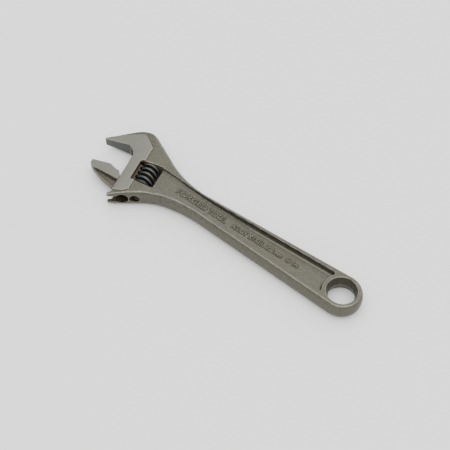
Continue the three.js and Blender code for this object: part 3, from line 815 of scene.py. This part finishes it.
class WRENCH_OT_movable_jaw(bpy.types.Operator):
    """Movable jaw with its neck, round bar and rack"""

    bl_idname = "wrench.movable_jaw"
    bl_label = "Movable jaw"

    def execute(self, context):
        make_finishes()
        sizes = context.scene.wrench_sizes
        jaw = merged_copy("movable_jaw", "sliding_jaw")
        round_off(jaw, sizes.jaw_grid, passes=3, most_triangles=sizes.most_triangles)
        mark_edges(jaw, sharpest=0.6 * MM)
        centre, normal = face_values(jaw)
        u, v, z = slide_coordinates(centre)
        grip = (normal @ np.array(SLIDE_UP) > 0.95) & (np.abs(v - MOVABLE_FACE_V) < NEAR)
        inside = u < 0.1 * MM
        hollow = (np.abs(z) < HOLLOW_HALF) & (np.abs(normal[:, 2]) > 0.5) & ~inside
        index = np.zeros(len(centre))
        index[ground_flat(u, z, normal) & (u > 0)] = 1
        index[grip] = 2
        # Oil film and painted shade on the jaw's neck, bar and rack inside the body.
        index[inside] = 3
        index[hollow] = 4
        give_materials(jaw, ["forged", "ground", "gripping", "bored", "recess"], index)
        finish_piece(jaw, "jaw", "movable_jaw")
        return {"FINISHED"}


class WRENCH_OT_adjusting_worm(bpy.types.Operator):
    """Worm with its left-hand thread, bore and spring seat"""

    bl_idname = "wrench.adjusting_worm"
    bl_label = "Adjusting worm"

    def execute(self, context):
        make_finishes()
        sizes = context.scene.wrench_sizes
        low, high = along_slide("adjusting_worm")
        radius, root, crest = (size / MM for size in (sizes.worm_radius, sizes.worm_root, sizes.worm_crest))
        pitch, start, bore = (size / MM for size in (sizes.worm_pitch, sizes.thread_start, sizes.pin_bore))
        lean = math.tan(math.radians(20))
        sunk = root - 0.5
        base = crest + (radius - sunk) * lean
        soft = 0.3
        section = [
            (sunk, -base), (radius - soft, -crest - soft * lean), (radius - 0.3 * soft, -crest + 0.2 * soft),
            (radius, -crest + soft), (radius, crest - soft), (radius - 0.3 * soft, crest - 0.2 * soft),
            (radius - soft, crest + soft * lean), (sunk, base),
        ]
        above = math.ceil((high - start) / pitch) + 1
        below = math.ceil((start - low) / pitch) + 1
        thread = helix("worm_thread", section, pitch, above + below, start + above * pitch, 72)
        worm = spun("black_worm", [(0, low - 1), (root, low - 1), (root, high + 1), (0, high + 1)], 72)
        cut(worm, thread, "UNION")
        seat = (sizes.spring_coil + sizes.spring_wire) / MM + 0.3
        floor = high - sizes.spring_seat / MM
        rim, outside = radius - 0.8, radius + 1
        room = spun("worm_room", [
            (bore, low), (rim, low), (outside, low + 1.8), (outside, high - 1.8), (rim, high),
            (seat, high), (seat, floor), (bore, floor),
        ], 96)
        cut(worm, room, "INTERSECT")
        to_slide(worm)
        round_off(worm, sizes.worm_grid, passes=2, most_triangles=120000)
        mark_edges(worm, sharpest=0.3 * MM)
        centre, _ = face_values(worm)
        u, _, z = slide_coordinates(centre)
        # The crests take the lighter crest finish, a painted sheen.
        crests = np.hypot(u - WORM_U, z) > sizes.worm_radius - NEAR
        give_materials(worm, ["black", "crest"], crests)
        finish_piece(worm, "worm", "adjusting_worm")
        return {"FINISHED"}


class WRENCH_OT_worm_pin(bpy.types.Operator):
    """Slotted pin that the worm turns on"""

    bl_idname = "wrench.worm_pin"
    bl_label = "Worm pin"

    def execute(self, context):
        make_finishes()
        sizes = context.scene.wrench_sizes
        low, high = along_slide("worm_pin")
        head, neck = sizes.pin_head / MM, sizes.pin_neck / MM
        shoulder = low + sizes.pin_head_depth / MM
        pin = spun("slotted_pin", [
            (0, low), (head - 0.45, low + 0.02), (head - 0.12, low + 0.16), (head, low + 0.5),
            (head, shoulder - 0.15), (head - 0.15, shoulder), (neck + 0.15, shoulder),
            (neck, shoulder + 0.15), (neck, high - 0.6), (neck - 0.55, high), (0, high),
        ], 64)
        bpy.ops.object.select_all(action="DESELECT")
        slot = (4 * head, sizes.pin_slot / MM, 2 * sizes.pin_slot / MM)
        bpy.ops.mesh.primitive_cube_add(size=1.0, location=(0, 0, low), scale=slot)
        cut(pin, bpy.context.object, "DIFFERENCE")
        sharp = math.radians(40)
        apply_modifier(pin, "BEVEL", width=0.09, segments=2, limit_method="ANGLE", angle_limit=sharp)
        apply_modifier(pin, "TRIANGULATE")
        to_slide(pin)
        mark_edges(pin, sharpest=0.3 * MM)
        give_materials(pin, ["black"], np.zeros(len(pin.data.polygons)))
        finish_piece(pin, "body", "worm_pin")
        only(pin)
        bpy.ops.object.shade_smooth_by_angle(angle=math.radians(35))
        return {"FINISHED"}


class WRENCH_OT_worm_spring(bpy.types.Operator):
    """Coil spring between the worm and the body"""

    bl_idname = "wrench.worm_spring"
    bl_label = "Worm spring"

    def execute(self, context):
        make_finishes()
        sizes = context.scene.wrench_sizes
        low, high = along_slide("worm_spring")
        wire, coil = sizes.spring_wire / MM, sizes.spring_coil / MM
        section = [
            (coil + wire * math.cos(k * math.pi / 6), wire * math.sin(k * math.pi / 6))
            for k in range(12)
        ]
        spring = helix("coil_spring", section, (high - low - 2 * wire) / 2, 2, high - wire, 40)
        apply_modifier(spring, "TRIANGULATE")
        to_slide(spring)
        mark_edges(spring, sharpest=0.1 * MM)
        give_materials(spring, ["spring"], np.zeros(len(spring.data.polygons)))
        finish_piece(spring, "body", "worm_spring")
        return {"FINISHED"}


class WRENCH_OT_stage(bpy.types.Operator):
    """Pale floor, soft lights and the camera"""

    bl_idname = "wrench.stage"
    bl_label = "Stage"

    def execute(self, context):
        studio = context.scene.wrench_studio
        self.lay_floor(context)
        self.hang_light("key_light", (0.1, -0.05, 1.1), 1.7, studio.key_power)
        self.hang_light("back_light", (-0.45, 0.9, 0.7), 0.8, studio.back_power)
        world = bpy.data.worlds.new("surround")
        world.use_nodes = True
        background = world.node_tree.nodes["Background"]
        background.inputs["Color"].default_value = (1.0, 1.0, 1.0, 1.0)
        background.inputs["Strength"].default_value = studio.world_strength
        context.scene.world = world
        self.place_camera(context, studio)
        return {"FINISHED"}

    def lay_floor(self, context):
        bpy.ops.object.select_all(action="DESELECT")
        bpy.ops.mesh.primitive_plane_add(size=6.0, location=(0, 0, -0.0002))
        floor = bpy.context.object
        floor.name = "studio_floor"
        material, tree, shader = new_material("floor_paper", 0.0, 0.9)
        colour = context.scene.wrench_finishes.floor
        place = node(tree, "ShaderNodeTexCoord").outputs["Object"]
        tone = blend_colours(tree, noise(tree, place, 3.0), rgba(colour, 0.99), rgba(colour, 1.0))
        tree.links.new(tone, shader.inputs["Base Color"])
        floor.data.materials.append(material)

    def hang_light(self, name, place, size, power):
        bpy.ops.object.select_all(action="DESELECT")
        bpy.ops.object.light_add(type="AREA", location=place)
        light = bpy.context.object
        light.name = name
        light.data.shape = "DISK"
        light.data.size = size
        light.data.energy = power
        aim = -Vector(place)
        light.rotation_euler = aim.to_track_quat("-Z", "Y").to_euler()

    def place_camera(self, context, studio):
        bpy.ops.object.select_all(action="DESELECT")
        bpy.ops.object.camera_add()
        camera = bpy.context.object
        camera.name = "studio_camera"
        camera.data.lens = studio.lens
        camera.data.sensor_width = 36
        camera.data.clip_start = 0.01
        camera.data.clip_end = 20
        level = math.cos(studio.elevation)
        back = Vector((
            math.sin(studio.azimuth) * level,
            -math.cos(studio.azimuth) * level,
            math.sin(studio.elevation),
        ))
        camera.location = Vector(studio.target) + back * studio.distance
        camera.rotation_euler = (-back).to_track_quat("-Z", "Y").to_euler()
        context.scene.camera = camera


class WRENCH_PT_pieces(bpy.types.Panel):
    """Buttons for the wrench's pieces and its stage"""

    bl_idname = "WRENCH_PT_pieces"
    bl_label = "Adjustable wrench"
    bl_space_type = "VIEW_3D"
    bl_region_type = "UI"
    bl_category = "Wrench"

    def draw(self, context):
        for operator in OPERATORS:
            self.layout.operator(operator.bl_idname)
        scene = context.scene
        for group in (scene.wrench_sizes, scene.wrench_finishes, scene.wrench_studio):
            for name in group.__annotations__:
                self.layout.prop(group, name)


SETTINGS = (WrenchSizes, WrenchFinishes, WrenchStudio)
OPERATORS = (
    WRENCH_OT_forged_body,
    WRENCH_OT_movable_jaw,
    WRENCH_OT_adjusting_worm,
    WRENCH_OT_worm_pin,
    WRENCH_OT_worm_spring,
    WRENCH_OT_stage,
)


def register():
    for item in (*SETTINGS, *OPERATORS, WRENCH_PT_pieces):
        bpy.utils.register_class(item)
    bpy.types.Scene.wrench_sizes = PointerProperty(type=WrenchSizes)
    bpy.types.Scene.wrench_finishes = PointerProperty(type=WrenchFinishes)
    bpy.types.Scene.wrench_studio = PointerProperty(type=WrenchStudio)


def unregister():
    del bpy.types.Scene.wrench_sizes
    del bpy.types.Scene.wrench_finishes
    del bpy.types.Scene.wrench_studio
    for item in (WRENCH_PT_pieces, *reversed(OPERATORS), *reversed(SETTINGS)):
        bpy.utils.unregister_class(item)


def main():
    register()
    bpy.ops.wrench.stage()
    bpy.ops.wrench.forged_body()
    bpy.ops.wrench.movable_jaw()
    bpy.ops.wrench.adjusting_worm()
    bpy.ops.wrench.worm_pin()
    bpy.ops.wrench.worm_spring()


if __name__ == "__main__":
    main()
